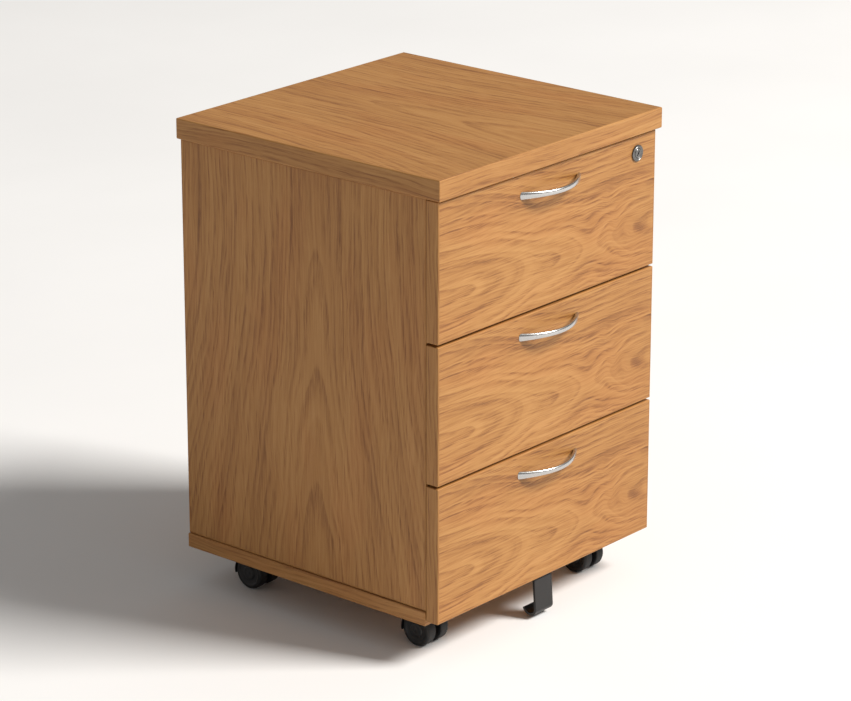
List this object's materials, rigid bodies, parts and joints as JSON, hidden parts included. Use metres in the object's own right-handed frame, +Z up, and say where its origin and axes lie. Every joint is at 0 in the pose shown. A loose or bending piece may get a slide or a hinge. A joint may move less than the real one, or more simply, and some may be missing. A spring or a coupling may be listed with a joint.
{
  "type": "rolling pedestal cabinet",
  "caption": "Under-desk rolling pedestal cabinet with stacked overlay drawers on ball runners, bow handles, a corner lock, twin-wheel swivel castors and an anti-tilt foot.",
  "frame": {"origin": "on the floor, below the centre of the object's box", "axes": "+Z up, -Y the way the drawers open, +X towards the side with the lock"},
  "size_m": [0.404, 0.4154, 0.583],
  "materials": {
    "oak_melamine": "light oak printed melamine board, satin, horizontal grain on the drawer fronts and vertical grain on the sides",
    "tray_steel": "light grey powder-coated sheet steel",
    "zinc_steel": "bright zinc-plated steel",
    "satin_chrome": "satin chrome plate",
    "black_plastic": "black moulded nylon",
    "black_steel": "black powder-coated steel strip",
    "wheel_tread": "black hard-tread plastic wheel"
  },
  "bodies": {
    "cabinet": {"top_panel": "oak_melamine", "base_panel": "oak_melamine", "left_side_panel": "oak_melamine", "right_side_panel": "oak_melamine", "back_panel": "oak_melamine", "lower_left_runner_fixed": "zinc_steel", "lower_right_runner_fixed": "zinc_steel", "middle_left_runner_fixed": "zinc_steel", "middle_right_runner_fixed": "zinc_steel", "upper_left_runner_fixed": "zinc_steel", "upper_right_runner_fixed": "zinc_steel", "front_left_castor_plate": "zinc_steel", "front_right_castor_plate": "zinc_steel", "rear_left_castor_plate": "zinc_steel", "rear_right_castor_plate": "zinc_steel"},
    "lower_drawer": {"lower_drawer_front": "oak_melamine", "lower_drawer_tray": "tray_steel", "lower_drawer_handle": "satin_chrome", "lower_left_runner_moving": "zinc_steel", "lower_right_runner_moving": "zinc_steel", "anti_tilt_foot": "black_steel"},
    "lower_ball_cages": {"lower_left_ball_cage": "zinc_steel", "lower_right_ball_cage": "zinc_steel"},
    "middle_drawer": {"middle_drawer_front": "oak_melamine", "middle_drawer_tray": "tray_steel", "middle_drawer_handle": "satin_chrome", "middle_left_runner_moving": "zinc_steel", "middle_right_runner_moving": "zinc_steel"},
    "middle_ball_cages": {"middle_left_ball_cage": "zinc_steel", "middle_right_ball_cage": "zinc_steel"},
    "upper_drawer": {"upper_drawer_front": "oak_melamine", "upper_drawer_tray": "tray_steel", "upper_drawer_handle": "satin_chrome", "upper_left_runner_moving": "zinc_steel", "upper_right_runner_moving": "zinc_steel", "lock_housing": "satin_chrome"},
    "upper_ball_cages": {"upper_left_ball_cage": "zinc_steel", "upper_right_ball_cage": "zinc_steel"},
    "lock_core": {"lock_core": "satin_chrome"},
    "lock_bar": {"lock_bar": "zinc_steel"},
    "front_left_castor": {"front_left_castor_hood": "black_plastic", "front_left_castor_axle": "zinc_steel"},
    "front_left_castor_left_wheel": {"front_left_castor_left_wheel": "wheel_tread"},
    "front_left_castor_right_wheel": {"front_left_castor_right_wheel": "wheel_tread"},
    "front_right_castor": {"front_right_castor_hood": "black_plastic", "front_right_castor_axle": "zinc_steel"},
    "front_right_castor_left_wheel": {"front_right_castor_left_wheel": "wheel_tread"},
    "front_right_castor_right_wheel": {"front_right_castor_right_wheel": "wheel_tread"},
    "rear_left_castor": {"rear_left_castor_hood": "black_plastic", "rear_left_castor_axle": "zinc_steel"},
    "rear_left_castor_left_wheel": {"rear_left_castor_left_wheel": "wheel_tread"},
    "rear_left_castor_right_wheel": {"rear_left_castor_right_wheel": "wheel_tread"},
    "rear_right_castor": {"rear_right_castor_hood": "black_plastic", "rear_right_castor_axle": "zinc_steel"},
    "rear_right_castor_left_wheel": {"rear_right_castor_left_wheel": "wheel_tread"},
    "rear_right_castor_right_wheel": {"rear_right_castor_right_wheel": "wheel_tread"}
  },
  "joints": [
    {"name": "lower_drawer_slide", "type": "slide", "parent": "cabinet", "child": "lower_drawer", "axis": [0, -1, 0], "range_m": [0, 0.24]},
    {"name": "lower_cage_slide", "type": "slide", "parent": "cabinet", "child": "lower_ball_cages", "axis": [0, -1, 0], "range_m": [0, 0.12]},
    {"name": "middle_drawer_slide", "type": "slide", "parent": "cabinet", "child": "middle_drawer", "axis": [0, -1, 0], "range_m": [0, 0.24]},
    {"name": "middle_cage_slide", "type": "slide", "parent": "cabinet", "child": "middle_ball_cages", "axis": [0, -1, 0], "range_m": [0, 0.12]},
    {"name": "upper_drawer_slide", "type": "slide", "parent": "cabinet", "child": "upper_drawer", "axis": [0, -1, 0], "range_m": [0, 0.24]},
    {"name": "upper_cage_slide", "type": "slide", "parent": "cabinet", "child": "upper_ball_cages", "axis": [0, -1, 0], "range_m": [0, 0.12]},
    {"name": "lock_turn", "type": "hinge", "parent": "upper_drawer", "child": "lock_core", "pos_m": [0.1615, -0.16875, 0.5348], "axis": [0, 1, 0], "range_deg": [0, 90]},
    {"name": "lock_bar_slide", "type": "slide", "parent": "cabinet", "child": "lock_bar", "axis": [0, 0, -1], "range_m": [0, 0.008]},
    {"name": "front_left_castor_swivel", "type": "hinge", "parent": "cabinet", "child": "front_left_castor", "pos_m": [-0.147, -0.11305, 0.03], "axis": [0, 0, 1], "continuous": true},
    {"name": "front_left_castor_left_wheel_roll", "type": "hinge", "parent": "front_left_castor", "child": "front_left_castor_left_wheel", "pos_m": [-0.147, -0.12565, 0.02], "axis": [1, 0, 0], "continuous": true},
    {"name": "front_left_castor_right_wheel_roll", "type": "hinge", "parent": "front_left_castor", "child": "front_left_castor_right_wheel", "pos_m": [-0.147, -0.12565, 0.02], "axis": [1, 0, 0], "continuous": true},
    {"name": "front_right_castor_swivel", "type": "hinge", "parent": "cabinet", "child": "front_right_castor", "pos_m": [0.147, -0.11305, 0.03], "axis": [0, 0, 1], "continuous": true},
    {"name": "front_right_castor_left_wheel_roll", "type": "hinge", "parent": "front_right_castor", "child": "front_right_castor_left_wheel", "pos_m": [0.147, -0.12565, 0.02], "axis": [1, 0, 0], "continuous": true},
    {"name": "front_right_castor_right_wheel_roll", "type": "hinge", "parent": "front_right_castor", "child": "front_right_castor_right_wheel", "pos_m": [0.147, -0.12565, 0.02], "axis": [1, 0, 0], "continuous": true},
    {"name": "rear_left_castor_swivel", "type": "hinge", "parent": "cabinet", "child": "rear_left_castor", "pos_m": [-0.147, 0.15215, 0.03], "axis": [0, 0, 1], "continuous": true},
    {"name": "rear_left_castor_left_wheel_roll", "type": "hinge", "parent": "rear_left_castor", "child": "rear_left_castor_left_wheel", "pos_m": [-0.147, 0.13955, 0.02], "axis": [1, 0, 0], "continuous": true},
    {"name": "rear_left_castor_right_wheel_roll", "type": "hinge", "parent": "rear_left_castor", "child": "rear_left_castor_right_wheel", "pos_m": [-0.147, 0.13955, 0.02], "axis": [1, 0, 0], "continuous": true},
    {"name": "rear_right_castor_swivel", "type": "hinge", "parent": "cabinet", "child": "rear_right_castor", "pos_m": [0.147, 0.15215, 0.03], "axis": [0, 0, 1], "continuous": true},
    {"name": "rear_right_castor_left_wheel_roll", "type": "hinge", "parent": "rear_right_castor", "child": "rear_right_castor_left_wheel", "pos_m": [0.147, 0.13955, 0.02], "axis": [1, 0, 0], "continuous": true},
    {"name": "rear_right_castor_right_wheel_roll", "type": "hinge", "parent": "rear_right_castor", "child": "rear_right_castor_right_wheel", "pos_m": [0.147, 0.13955, 0.02], "axis": [1, 0, 0], "continuous": true}
  ],
  "couplings": [
    {"joint": "lower_cage_slide", "follows": "lower_drawer_slide", "ratio": 0.5},
    {"joint": "middle_cage_slide", "follows": "middle_drawer_slide", "ratio": 0.5},
    {"joint": "upper_cage_slide", "follows": "upper_drawer_slide", "ratio": 0.5},
    {"joint": "lock_turn", "follows": "lock_bar_slide", "rad_per_m": 196.35}
  ]
}
